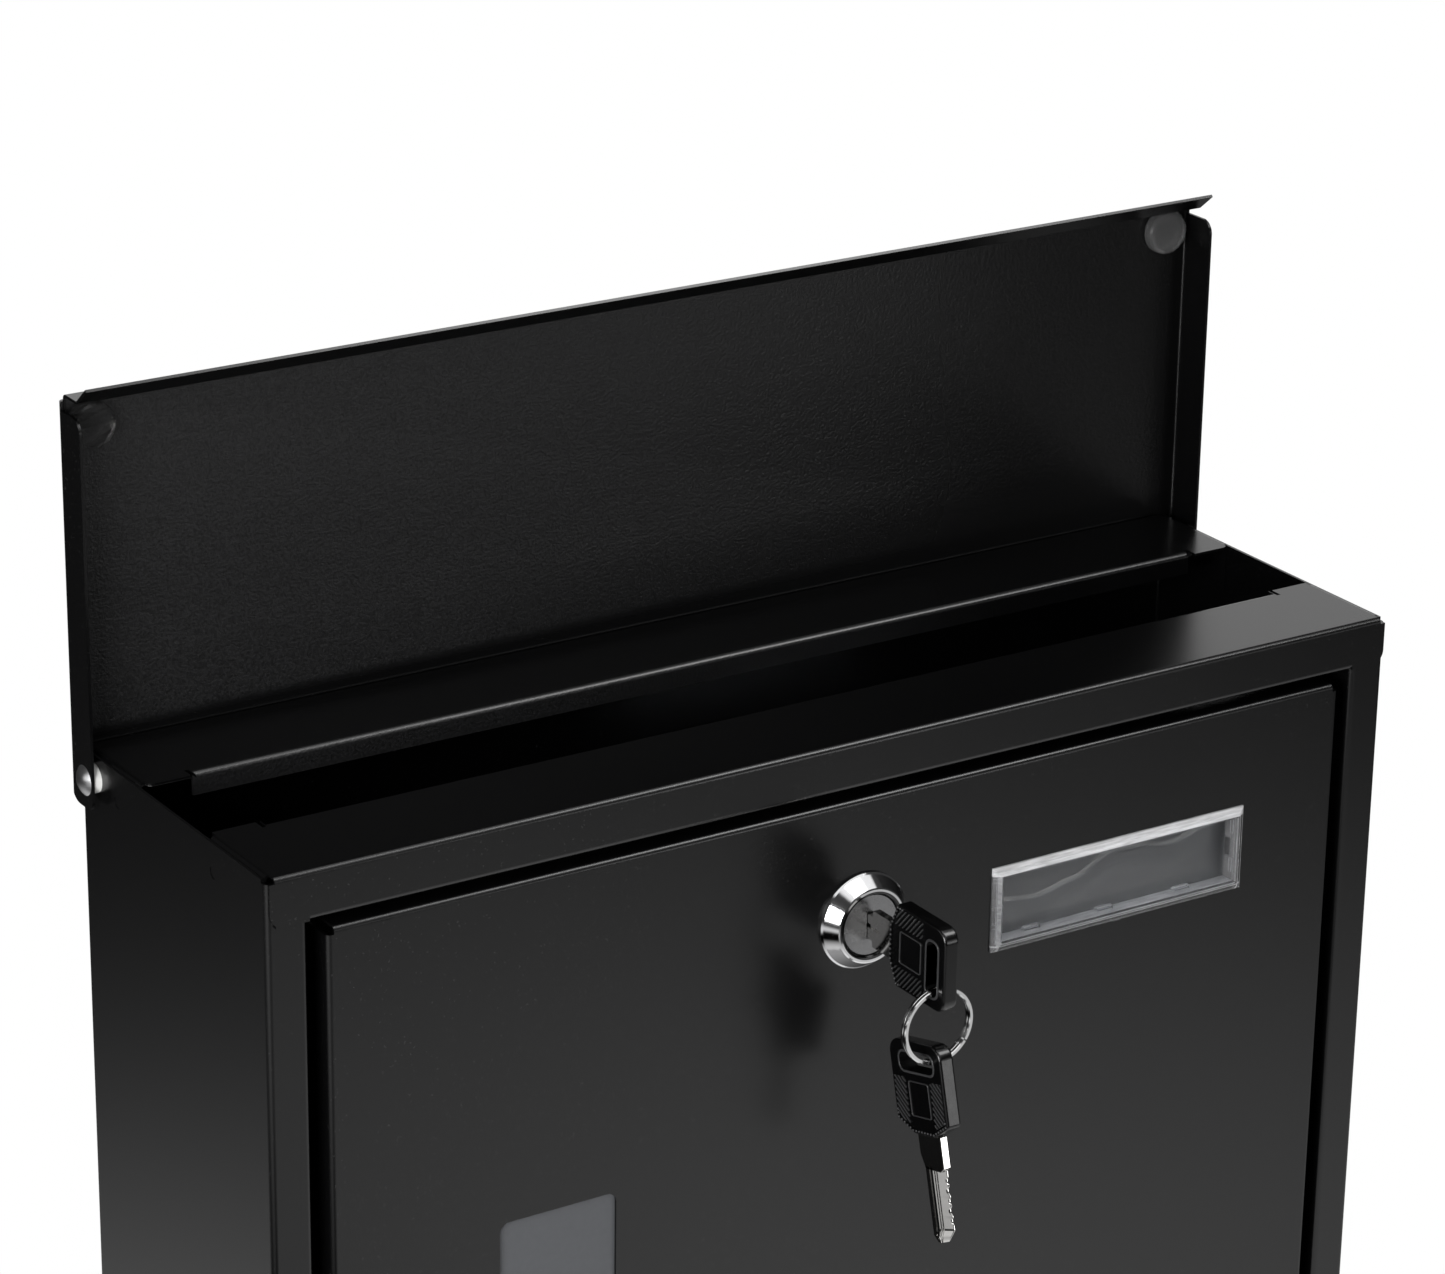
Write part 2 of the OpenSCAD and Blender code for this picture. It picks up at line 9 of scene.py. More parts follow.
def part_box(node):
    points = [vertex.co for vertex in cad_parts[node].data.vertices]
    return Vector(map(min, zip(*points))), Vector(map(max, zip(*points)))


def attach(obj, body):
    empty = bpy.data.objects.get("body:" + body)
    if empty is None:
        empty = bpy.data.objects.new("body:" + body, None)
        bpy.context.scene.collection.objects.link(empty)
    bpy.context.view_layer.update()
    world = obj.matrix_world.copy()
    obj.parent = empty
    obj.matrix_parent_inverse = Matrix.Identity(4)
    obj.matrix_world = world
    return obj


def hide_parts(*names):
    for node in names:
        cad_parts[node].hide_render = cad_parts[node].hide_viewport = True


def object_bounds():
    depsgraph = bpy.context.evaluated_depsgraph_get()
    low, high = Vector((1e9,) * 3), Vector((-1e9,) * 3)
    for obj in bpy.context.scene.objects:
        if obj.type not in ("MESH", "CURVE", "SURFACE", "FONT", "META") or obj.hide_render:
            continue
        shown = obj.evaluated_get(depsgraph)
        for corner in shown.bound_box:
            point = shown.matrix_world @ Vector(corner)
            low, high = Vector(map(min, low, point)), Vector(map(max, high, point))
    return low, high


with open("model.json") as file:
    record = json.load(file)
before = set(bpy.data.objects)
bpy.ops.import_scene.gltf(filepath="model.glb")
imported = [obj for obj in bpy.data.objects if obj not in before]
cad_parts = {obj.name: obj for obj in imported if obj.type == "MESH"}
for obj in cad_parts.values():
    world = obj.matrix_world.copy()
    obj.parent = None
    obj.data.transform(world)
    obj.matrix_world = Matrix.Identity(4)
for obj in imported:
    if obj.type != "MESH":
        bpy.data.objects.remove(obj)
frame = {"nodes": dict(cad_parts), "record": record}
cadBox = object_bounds()
nodes = frame["nodes"]
mm = 0.001
print("frame loaded:", len(nodes), "nodes")


def boxOf(name):
    # a node's two corners in millimetres
    return [[c / mm for c in corner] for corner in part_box(name)]


casingTop = boxOf("casing")[1][2]
casingHalf = boxOf("casing")[1][0]

shot = {
    "place": (-0.6851, -1.0864, 0.6481),  # metres, in the part's own frame
    "azimuth": 33.06,
    "elevation": 21.01,
    "roll": 0.83,
    "lens": 120.8,
    "sensor": 36,
    "nearest": 0.05,
}


def setCamera():
    az, el, roll = (math.radians(shot[k]) for k in ("azimuth", "elevation", "roll"))
    ahead = Vector((math.sin(az) * math.cos(el), math.cos(az) * math.cos(el), -math.sin(el)))
    right = Vector((math.cos(az), -math.sin(az), 0))
    up = right.cross(ahead)
    camX = math.cos(roll) * right + math.sin(roll) * up
    camY = -math.sin(roll) * right + math.cos(roll) * up
    data = bpy.data.cameras.new("viewer")
    data.lens = shot["lens"]
    data.sensor_width = shot["sensor"]
    data.clip_start = shot["nearest"]
    camera = bpy.data.objects.new("viewer", data)
    turn = Matrix((camX, camY, -ahead)).transposed()
    camera.matrix_world = Matrix.Translation(shot["place"]) @ turn.to_4x4()
    bpy.context.collection.objects.link(camera)
    bpy.context.scene.camera = camera


setCamera()


class Wire:
    # a shader socket that takes part in sums
    def __init__(self, look, socket):
        self.look = look
        self.socket = socket

    def __add__(self, other):
        return self.look.combine("ADD", self, other)

    def __radd__(self, other):
        return self.look.combine("ADD", other, self)

    def __sub__(self, other):
        return self.look.combine("SUBTRACT", self, other)

    def __rsub__(self, other):
        return self.look.combine("SUBTRACT", other, self)

    def __mul__(self, other):
        return self.look.combine("MULTIPLY", self, other)

    def __rmul__(self, other):
        return self.look.combine("MULTIPLY", other, self)

    def __pow__(self, other):
        return self.look.combine("POWER", self, other)


class Finish:
    # one material or world under construction
    def __init__(self, owner):
        owner.use_nodes = True
        self.isWorld = isinstance(owner, bpy.types.World)
        self.tree = owner.node_tree
        self.tree.nodes.clear()

    def addNode(self, kind, settings=None, inputs=None, out=0):
        node = self.tree.nodes.new(kind)
        for name, value in (settings or {}).items():
            setattr(node, name, value)
        for name, value in (inputs or {}).items():
            if isinstance(value, Wire):
                self.tree.links.new(value.socket, node.inputs[name])
            else:
                node.inputs[name].default_value = value
        return Wire(self, node.outputs[out])

    def combine(self, operation, first, second):
        return self.addNode("ShaderNodeMath", {"operation": operation}, {0: first, 1: second})

    def rays(self):
        # whether the ray is seen by the viewer, mirrored or passed on through a clear piece
        return [self.addNode("ShaderNodeLightPath", out=kind + " Ray")
                for kind in ("Is Camera", "Is Glossy", "Is Transmission")]

    def mapRange(self, value, low, high, toLow=0.0, toHigh=1.0, kind="LINEAR"):
        return self.addNode("ShaderNodeMapRange", {"interpolation_type": kind}, {
            "Value": value, "From Min": low, "From Max": high, "To Min": toLow, "To Max": toHigh})

    def place(self, scale=1.0):
        # object coordinates: metres, or millimetres at a scale of 1000
        coords = self.addNode("ShaderNodeTexCoord", out="Object")
        if scale == 1.0:
            return coords
        return self.addNode("ShaderNodeMapping", {}, {"Vector": coords, "Scale": (scale, scale, scale)})

    def axes(self, letters):
        # distances from the part's origin in millimetres
        place = self.place(1000)
        return [self.addNode("ShaderNodeSeparateXYZ", {}, {0: place}, letter) for letter in letters]

    def noise(self, where, scale, detail=2.0, roughness=0.5):
        return self.addNode("ShaderNodeTexNoise", {}, {
            "Vector": where, "Scale": scale, "Detail": detail, "Roughness": roughness})

    def bump(self, height, strength, distance, normal=None):
        inputs = {"Height": height, "Strength": strength, "Distance": distance}
        if normal:
            inputs["Normal"] = normal
        return self.addNode("ShaderNodeBump", {}, inputs)

    def mixColour(self, factor, first, second):
        return self.addNode("ShaderNodeMix", {"data_type": "RGBA"}, {0: factor, 6: first, 7: second}, 2)

    def mixShader(self, factor, first, second):
        return self.addNode("ShaderNodeMixShader", {}, {0: factor, 1: first, 2: second})

    def principled(self, inputs):
        return self.addNode("ShaderNodeBsdfPrincipled", {}, inputs)

    def surface(self, shader):
        kind = "ShaderNodeOutputWorld" if self.isWorld else "ShaderNodeOutputMaterial"
        self.tree.links.new(shader.socket, self.tree.nodes.new(kind).inputs["Surface"])


def newFinish(name):
    material = bpy.data.materials.new(name)
    return material, Finish(material)


def tint(colour, factor=1.0):
    return (*[min(1, c * factor) for c in colour], 1)


room = {
    "floorZ": cadBox[0][2] - 0.0005,
    "floorSize": 7.0,
    "floorColour": (0.86, 0.86, 0.86, 1),
    # the floor behind a clear piece turns white from and to these distances, and how white it is before
    "fade": (0.2, 0.36, 0.85),
    "poolBase": 0.02,
    # lit and shaded parts of the floor: middle, reach, level
    "pools": [
        ((0.15, -0.32), 0.47, 0.88),
        ((-0.25, 0.08), 0.30, 0.5),
        ((-0.68, -0.48), 0.38, 1.0),
        ((-0.24, -0.42), 0.15, -0.9),
        ((-0.45, -0.20), 0.22, -1.0),
    ],
    # bright sides of the studio: direction, where the light starts and is full
    "cards": [
        ((0.62, 0.78, 0.08), 0.80, 0.95),
        ((-0.98, -0.15, -0.1), 0.8, 0.95),
        ((0.0, -0.6, 0.8), 0.82, 0.87),
        ((0.52, -0.85, -0.02), 0.95, 0.99),
        ((0.4, -0.12, 0.91), 0.94, 0.97),
    ],
    "worldLight": 0.15,
    "worldDim": 0.04,
}


def setWorld():
    world = bpy.data.worlds.new("studio")
    bpy.context.scene.world = world
    air = Finish(world)
    seen, mirrored, through = air.rays()
    direction = air.addNode("ShaderNodeTexCoord", out="Generated")
    depth = air.addNode("ShaderNodeLightPath", out="Glossy Depth")
    first = air.mapRange(depth, 1.4, 1.6, 1.0, 0.0)  # not for mirrors of mirrors
    back = room["worldDim"]
    for side, start, full in room["cards"]:
        facing = air.addNode("ShaderNodeVectorMath", {"operation": "DOT_PRODUCT"},
                             {0: direction, 1: side}, "Value")
        card = air.mapRange(facing, start, full, 0.0, 1 - room["worldDim"], "SMOOTHSTEP")
        back = back + first * card
    clear = air.combine("MAXIMUM", seen, through)
    level = clear + (1 - clear) * (mirrored * back + (1 - mirrored) * room["worldLight"])
    air.surface(air.addNode("ShaderNodeBackground", {}, {"Color": (1, 1, 1, 1), "Strength": level}))


setWorld()


def floorMaterial():
    material, look = newFinish("paleFloor")
    seen, mirrored, through = look.rays()

    def away(x, y):
        return look.addNode("ShaderNodeVectorMath", {"operation": "DISTANCE"},
                            {0: look.place(), 1: (x, y, room["floorZ"])}, "Value")

    pool = room["poolBase"]
    for middle, reach, level in room["pools"]:
        fall = -1 / reach ** 2 * away(*middle) ** 2
        pool = pool + level * look.addNode("ShaderNodeMath", {"operation": "EXPONENT"}, {0: fall})
    pool = look.combine("MAXIMUM", pool, 0.0)
    start, end, dark = room["fade"]
    fade = look.mapRange(away(0, 0), start, end, dark, 1.0, "SMOOTHSTEP")
    lit = look.addNode("ShaderNodeBsdfDiffuse", {}, {"Color": room["floorColour"]})
    glow = look.addNode("ShaderNodeEmission", {}, {
        "Color": (1, 1, 1, 1), "Strength": mirrored * pool + (1 - mirrored)})
    share = look.combine("MAXIMUM", through * fade, mirrored)
    clear = look.addNode("ShaderNodeBsdfTransparent")  # the viewer sees past it, the part hangs on a wall
    look.surface(look.mixShader(seen, look.mixShader(share, lit, glow), clear))
    return material


def setFloor():
    bm = bmesh.new()
    bmesh.ops.create_grid(bm, x_segments=1, y_segments=1, size=room["floorSize"] / 2)
    bmesh.ops.translate(bm, verts=bm.verts, vec=(0, 0, room["floorZ"]))
    mesh = bpy.data.meshes.new("floor")
    bm.to_mesh(mesh)
    bm.free()
    floor = bpy.data.objects.new("floor", mesh)
    bpy.context.collection.objects.link(floor)
    floor.data.materials.append(floorMaterial())


setFloor()

lamps = [
    # name, place, aims at, size x, size y, watts
    ("topBox", (-0.1, -0.3, 1.6), (0, -0.05, 0.1), 0.9, 0.7, 4),
    ("leftBox", (-0.75, -0.45, 0.3), (-0.05, -0.02, 0.18), 0.4, 0.4, 8),
    ("rightBox", (0.76, -0.66, 1.28), (0, -0.1, 0.1), 0.45, 0.45, 5),
    ("smallBox", (0.470, -0.907, 0.053), (0, -0.14, 0.07), 0.18, 0.18, 0.33),
]


def setLamps():
    for name, place, aim, wide, tall, watts in lamps:
        data = bpy.data.lights.new(name, "AREA")
        data.shape = "RECTANGLE"
        data.size = wide
        data.size_y = tall
        data.energy = watts
        lamp = bpy.data.objects.new(name, data)
        ahead = Vector(aim) - Vector(place)
        lamp.matrix_world = Matrix.Translation(place) @ ahead.to_track_quat("-Z", "Y").to_matrix().to_4x4()
        bpy.context.collection.objects.link(lamp)


setLamps()
print("camera, room and lamps set")


coat = {
    "colour": (0.0016, 0.0016, 0.0017),
    "colourInside": (0.0058, 0.0058, 0.0061),
    "speckColour": (0.03, 0.03, 0.03),
    "rough": 0.25,
    "roughDrift": 0.04,
    "roughInside": 0.42,
    "roughRight": 0.25,
    "thin": (-70.0, 120.0),  # millimetres from the middle where the inside changes towards the right: darker there as painted shade, with less grain and another roughness
    # how much of the grain, of the mottling and of the inside's own colour is lost there; losing the mottling
    # and the colour darkens it as painted shade
    "rightGrainLoss": 0.55,
    "rightSpotShade": 0.6,
    "rightColourShade": 0.75,
    # waves of each noise for a millimetre
    "peel": 1.1,
    "fine": 5.0,
    "drift": 0.014,
    "speck": 1.7,
    "grain": 1.25,
    # heights of the noise where specks and spots start and are full
    "specks": (0.76, 0.84),
    "spots": (0.35, 0.65),
    # depths in metres
    "peelDeep": 0.000008,
    "grainDeep": 0.00018,
}

grainPlace = {
    # millimetres, where the inside's heavier grain starts and where it is full
    "deep": (0.5, 0.7),  # into the lid's sheet from behind
    "side": (1.8, 2.6),  # in from the lid's sides
    "top": (97.2, 96.9),  # above the casing
    # the lowest few millimetres keep the outer coat's darker colour: a painted shade band along the lid's
    # lower edge
    "bottom": (2.5, 6.5),
    "rise": 0.007,  # the painted shade band along the lower edge grows taller towards the right
    "lip": (0.5, 1.2),  # under the casing's top, on the rear strip
    "lipBack": (5, 4),  # behind that strip's front
}


def powderCoat(name, inside=None):
    # inside: gives the mask of the faces with the heavier grain
    material, look = newFinish(name)
    where = look.place(1000)
    drift = look.noise(where, coat["drift"])
    speck = look.mapRange(look.noise(where, coat["speck"], 0.0), *coat["specks"])
    tone = look.mixColour(drift, tint(coat["colour"], 0.8), tint(coat["colour"], 1.25))
    tone = look.mixColour(speck * 0.5, tone, tint(coat["speckColour"]))
    rough = coat["rough"] + (drift - 0.5) * coat["roughDrift"]
    waves = look.noise(where, coat["peel"]) * 0.7 + look.noise(where, coat["fine"], 1.0) * 0.3
    normal = look.bump(waves, 1.0, coat["peelDeep"])
    if inside:
        mask = inside(look)
        # painted shade: towards the right the inside's mottling fades and its colour turns to the outer
        # coat's, so it darkens
        thin = look.mapRange(look.axes("X")[0], *coat["thin"])
        grain = look.noise(where, coat["grain"], 2.5, 0.6)
        extra = coat["roughInside"] - coat["rough"] + thin * (coat["roughRight"] - coat["roughInside"])
        rough = rough + mask * extra
        spots = look.mapRange(grain, *coat["spots"]) * (1 - thin * coat["rightSpotShade"])
        mottled = look.mixColour(spots, tint(coat["colourInside"], 0.3), tint(coat["colourInside"], 1.7))
        mottled = look.mixColour(thin * coat["rightColourShade"], mottled, tint(coat["colour"]))
        tone = look.mixColour(mask, tone, mottled)
        heavy = grain * (1 - thin * coat["rightGrainLoss"]) * mask
        normal = look.bump(heavy, 1.0, coat["grainDeep"], normal)
    look.surface(look.principled({"Base Color": tone, "Roughness": rough, "IOR": 1.5, "Normal": normal}))
    return material


def lidInside(look):
    # the lid's inner face between its side flanges and its skirt, leaving a painted shade band along its
    # lower edge
    s = grainPlace
    x, y, z = look.axes("XYZ")
    side, back = boxOf("lid_panel")[1][:2]
    inward = side - look.combine("ABSOLUTE", x, 0)
    above = z - casingTop
    # painted shade: a dark band along the lower edge, rising towards the right
    fade = look.mapRange(above - x * s["rise"], *s["bottom"], kind="SMOOTHSTEP")
    return (look.mapRange(back - y, *s["deep"]) * look.mapRange(inward, *s["side"])
            * look.mapRange(above, *s["top"]) * fade)


def lipInside(look):
    # the rear strip's down-turned lip
    y, z = look.axes("YZ")
    front = boxOf("top_rear_panel")[0][1]
    return look.mapRange(casingTop - z, *grainPlace["lip"]) * look.mapRange(y - front, *grainPlace["lipBack"])


metal = {
    # waves of each noise for a millimetre
    "drift": 0.4,
    "fine": 9.0,
    "fineDeep": 0.00001,  # metres
    "grooveShadeColour": (0.012, 0.012, 0.012),
    "grooveShadeShare": 0.95,
    # painted shade in the groove between rosette and plug, in millimetres from the plug's edge
    "grooveFrom": (-0.2, -0.05),
    "grooveTo": (1.05, 0.9),
}


# painted shade: the ring between rosette and plug is darkened as if lying in the gap's shadow
def lockGrooveShade(look):
    low, high = boxOf("lock_plug")
    x, z = look.axes("XZ")
    away = ((x - (low[0] + high[0]) / 2) ** 2 + (z - (low[2] + high[2]) / 2) ** 2) ** 0.5
    past = away - (high[0] - low[0]) / 2
    return look.mapRange(past, *metal["grooveFrom"]) * look.mapRange(past, *metal["grooveTo"])


def plainMetal(name, colour, rough, scratch=0.02, paintedShade=None):
    # the last argument gives the mask of the places darkened as painted shade
    material, look = newFinish(name)
    where = look.place(1000)
    drift = look.noise(where, metal["drift"])
    fine = look.noise(where, metal["fine"], 2.0, 0.6)
    tone = look.mixColour(drift, tint(colour, 0.94), tint(colour, 1.05))
    if paintedShade:
        tone = look.mixColour(paintedShade(look) * metal["grooveShadeShare"], tone, tint(metal["grooveShadeColour"]))
    look.surface(look.principled({
        "Base Color": tone, "Metallic": 1.0,
        "Roughness": rough - scratch + (drift + fine) * scratch,
        "Normal": look.bump(fine, 0.15, metal["fineDeep"]),
    }))
    return material


plastic = {
    # waves of each noise for a millimetre
    "drift": 0.5,
    "fine": 7.0,
    "fineDeep": 0.00003,  # metres
    "roughDrift": 0.06,
}


def plainPlastic(name, colour, rough, grain=0.1, ior=1.46):
    material, look = newFinish(name)
    where = look.place(1000)
    drift = look.noise(where, plastic["drift"])
    fine = look.noise(where, plastic["fine"], 2.0, 0.6)
    look.surface(look.principled({
        "Base Color": look.mixColour(drift, tint(colour, 0.9), tint(colour, 1.1)), "IOR": ior,
        "Roughness": rough + (drift - 0.5) * plastic["roughDrift"],
        "Normal": look.bump(fine, grain, plastic["fineDeep"]),
    }))
    return material


def cloudyPlastic(look, values, milkAndPaintedLight):
    # clear plastic mixed with white, by a share that is partly its own milkiness and partly painted light
    drift = look.noise(look.place(1000), values["drift"])
    clear = look.principled({
        "Base Color": tint(values["colour"]), "IOR": values["ior"], "Transmission Weight": 1.0,
        "Roughness": values["rough"] + drift * values["roughDrift"]})
    white = look.principled({
        "Base Color": look.mixColour(drift, *[tint(colour) for colour in values["whites"]]),
        "Roughness": values["whiteRough"]})
    look.surface(look.mixShader(milkAndPaintedLight, clear, white))


holderLook = {
    "colour": (0.9, 0.92, 0.95),
    "ior": 1.49,
    "drift": 0.25,
    "rough": 0.05,
    "roughDrift": 0.04,
    "whites": ((0.86, 0.86, 0.88), (0.98, 0.98, 1.0)),
    "whiteRough": 0.2,
    "base": 0.035,  # how milky the plastic is where no edge catches the light
    "drawn": (0.12, 1, 1.6),  # the streaks are drawn out sideways
    "streaks": (0.3, 0.7, 0.7, 1.2),  # from and to on the noise, and how strong they are there
    "soft": 0.15,  # how soft an edge's border is
    "over": 0.1,  # how far it reaches past its end
    # lit edges: side, from and to in millimetres inside the outline, how milky
    "edges": [
        ("top", -0.1, 2.35, 0.78),
        ("left", -0.1, 1.2, 0.24),
        ("left", 1.2, 2.3, 0.4),
        ("bottom", 1.9, 2.4, 0.6),
        ("bottom", 0.1, 1.0, 0.14),
        ("right", -0.1, 0.45, 0.5),
        ("right", 1.2, 1.8, 0.55),
        ("right", 2.1, 2.95, 0.17),
    ],
}


def clearHolder():
    material, look = newFinish("clearHolder")
    x, z = look.axes("XZ")
    low, high = boxOf("plate_holder")
    inside = {"top": high[2] - z, "bottom": z - low[2], "left": x - low[0], "right": high[0] - x}
    drawn = look.addNode("ShaderNodeMapping", {}, {"Vector": look.place(1000), "Scale": holderLook["drawn"]})
    streaks = look.mapRange(look.noise(drawn, 1.0), *holderLook["streaks"])
    milkAndPaintedLight = holderLook["base"]
    soft, over = holderLook["soft"], holderLook["over"]
    # painted highlights: milky white bands along the lit edges, broken into streaks
    for side, near, far, level in holderLook["edges"]:
        starts = look.mapRange(inside[side], near, near + soft)
        ends = look.mapRange(inside[side], far + over, far + over - soft)
        milkAndPaintedLight = look.combine("MAXIMUM", milkAndPaintedLight, starts * ends * level * streaks)
    cloudyPlastic(look, holderLook, milkAndPaintedLight)
    return material


filmLook = {
    "colour": (0.9, 0.92, 0.94),
    "ior": 1.49,
    "drift": 0.06,
    "rough": 0.16,
    "roughDrift": 0.04,
    "whites": ((0.74, 0.75, 0.74), (0.86, 0.86, 0.85)),
    "whiteRough": 0.3,
    "dark": 0.012,  # painted shade: how milky it looks at the upper right, the darker end
    "light": 0.075,  # painted light: and at the lower left, the lighter end
    "slope": (0.25, 0.95),
    "line": 0.17,  # light caught along the crease
    # millimetres under the crease: the dark shade and the light line start and end
    "shadeFrom": (0.3, 1.0),
    "shadeTo": (8.5, 2.5),
    "lineFrom": (-0.75, -0.3),
    "lineTo": (0.25, -0.1),
}


def clearFilm():
    material, look = newFinish("clearFilm")
    x, z = look.axes("XZ")
    low, high = boxOf("plate_film")
    across = look.mapRange(x, low[0], high[0])
    up = look.mapRange(z, low[2], high[2])
    drift = look.noise(look.place(1000), filmLook["drift"])
    # painted light and shade: lighter towards the lower left, darker towards the upper right
    climb = across * 0.55 + up * 0.75 + (drift - 0.5) * 0.5
    slope = look.mapRange(climb, *filmLook["slope"], kind="SMOOTHSTEP")
    milkAndPaintedLight = filmLook["light"] + slope * (filmLook["dark"] - filmLook["light"])
    below = look.addNode("ShaderNodeAttribute", {"attribute_name": "crease"}, out="Fac")
    shade = (look.mapRange(below, *filmLook["shadeFrom"])
             * look.mapRange(below, *filmLook["shadeTo"], kind="SMOOTHSTEP"))
    line = look.mapRange(below, *filmLook["lineFrom"]) * look.mapRange(below, *filmLook["lineTo"])
    cloudyPlastic(look, filmLook, milkAndPaintedLight * (1 - shade) + line * filmLook["line"])
    return material


bumperLook = {
    "colour": (0.9, 0.9, 0.9),
    "ior": 1.45,
    "drift": 0.3,
    "rough": 0.12,
    "roughDrift": 0.06,
    "whites": ((0.7, 0.7, 0.71), (0.82, 0.82, 0.82)),
    "whiteRough": 0.3,
    # painted light: how milky it is at the two ends of the lid, lighter at the right; and how cloudy in
    # itself
    "reach": 100.0,
    "left": 0.002,
    "right": 0.087,
    "cloud": 0.01,
}


def clearBumper():
    material, look = newFinish("clearBumper")
    s = bumperLook
    # painted light: the bumper turns whiter towards the lid's right end
    sideLight = look.mapRange(look.axes("X")[0], -s["reach"], s["reach"], s["left"], s["right"])
    drift = look.noise(look.place(1000), s["drift"])
    cloudyPlastic(look, s, sideLight + drift * s["cloud"])
    return material


finishes = {
    "powder_coat": powderCoat("blackPowderCoat"),
    "lid_panel": powderCoat("lidPowderCoat", lidInside),
    "top_rear_panel": powderCoat("rearStripPowderCoat", lipInside),
    "rivet_steel": plainMetal("rivetSteel", (0.72, 0.72, 0.73), 0.28),
    "nylon": plainPlastic("whiteNylon", (0.75, 0.75, 0.73), 0.5),
    "bumper_clear": clearBumper(),
    "frosted_pane": plainPlastic("frostedPane", (0.085, 0.088, 0.095), 0.45, 0.3),
    "clear_plastic": clearHolder(),
    "clear_film": clearFilm(),
    "lock_chrome": plainMetal("lockChrome", (0.80, 0.80, 0.81), 0.10),
    "lock_housing": plainMetal("lockRosette", (0.80, 0.80, 0.81), 0.10, paintedShade=lockGrooveShade),
    "lock_plug": plainMetal("plugFace", (0.3, 0.3, 0.305), 0.28, 0.1),
    "zinc_steel": plainMetal("zincSteel", (0.62, 0.62, 0.60), 0.35),
    "key_metal": plainMetal("keyNickel", (0.78, 0.77, 0.75), 0.1),
    "key_plastic": plainPlastic("keyBlack", (0.0012, 0.0012, 0.0013), 0.2, 0.15),
    "ring_steel": plainMetal("ringSteel", (0.78, 0.78, 0.78), 0.12),
}


def dressNodes():
    slotOf = {part["node"]: part["material_slot"] for part in frame["record"]["subparts"]}
    for name, node in nodes.items():
        node.data.materials.clear()
        node.data.materials.append(finishes[name if name in finishes else slotOf[name]])


dressNodes()
print("finishes set")


def addBox(bm, low, high):
    # a plain block between two corners
    made = bmesh.ops.create_cube(bm, size=1.0)["verts"]
    bmesh.ops.scale(bm, verts=made, vec=[high[k] - low[k] for k in range(3)])
    bmesh.ops.translate(bm, verts=made, vec=[(high[k] + low[k]) / 2 for k in range(3)])


def addOutline(bm, corners, radii):
    # a flat face in the YZ plane with its corners rounded
    points = [bm.verts.new((0, y, z)) for y, z in corners]
    bm.faces.new(points)
    for point, radius in zip(points, radii):
        if radius:
            bmesh.ops.bevel(bm, geom=[point], offset=radius, segments=6, profile=0.5,
                            affect="VERTICES", material=-1)


def roundEdges(bm, edges, offset, segments=3):
    bmesh.ops.bevel(bm, geom=edges, offset=offset, segments=segments, profile=0.5,
                    affect="EDGES", material=-1, clamp_overlap=True)


def sharpEdges(bm, angle):
    return [e for e in bm.edges if len(e.link_faces) == 2 and e.calc_face_angle(0) > math.radians(angle)]


def vertsOf(made):
    return [part for part in made if isinstance(part, bmesh.types.BMVert)]


def facesOf(made):
    return [part for part in made if isinstance(part, bmesh.types.BMFace)]


def thicken(bm, low, high):
    # turns the flat outline at x = 0 into a block from low to high
    bmesh.ops.translate(bm, verts=bm.verts, vec=(low, 0, 0))
    made = bmesh.ops.extrude_face_region(bm, geom=list(bm.faces), use_keep_orig=True)["geom"]
    bmesh.ops.translate(bm, verts=vertsOf(made), vec=(high - low, 0, 0))
    bmesh.ops.recalc_face_normals(bm, faces=bm.faces)


def outlineBlock(corners, radii, low, high):
    bm = bmesh.new()
    addOutline(bm, corners, radii)
    thicken(bm, low, high)
    return bm


def outlineRing(corners, radii, wide, low, high):
    # the same block with only a rim of its outline left
    bm = bmesh.new()
    addOutline(bm, corners, radii)
    rim = bmesh.ops.inset_region(bm, faces=list(bm.faces), thickness=wide, use_even_offset=True,
                                 use_boundary=True)["faces"]
    bmesh.ops.delete(bm, geom=[f for f in bm.faces if f not in rim], context="FACES_ONLY")
    thicken(bm, low, high)
    return bm


def rectangle(low, high):
    return [(low[0], low[1]), (high[0], low[1]), (high[0], high[1]), (low[0], high[1])]


def joinInto(bm, other):
    mesh = bpy.data.meshes.new("joined")
    other.to_mesh(mesh)
    other.free()
    bm.from_mesh(mesh)
    bpy.data.meshes.remove(mesh)


def cutShape(target, cutters, name):
    # takes the cutters' meshes out of the target's mesh
    works = []
    for k, bm in enumerate([target] + cutters):
        bmesh.ops.recalc_face_normals(bm, faces=bm.faces)
        mesh = bpy.data.meshes.new(f"{name}Work{k}")
        bm.to_mesh(mesh)
        bm.free()
        works.append(bpy.data.objects.new(f"{name}Work{k}", mesh))
        bpy.context.collection.objects.link(works[-1])
    for cutter in works[1:]:
        modifier = works[0].modifiers.new("cut", "BOOLEAN")
        modifier.operation = "DIFFERENCE"
        modifier.solver = "EXACT"
        modifier.object = cutter
    bpy.context.view_layer.update()
    done = works[0].evaluated_get(bpy.context.evaluated_depsgraph_get())
    result = bmesh.new()
    result.from_mesh(done.data)
    for work in works:
        old = work.data
        bpy.data.objects.remove(work)
        bpy.data.meshes.remove(old)
    bmesh.ops.remove_doubles(result, verts=result.verts, dist=0.001)
    return result


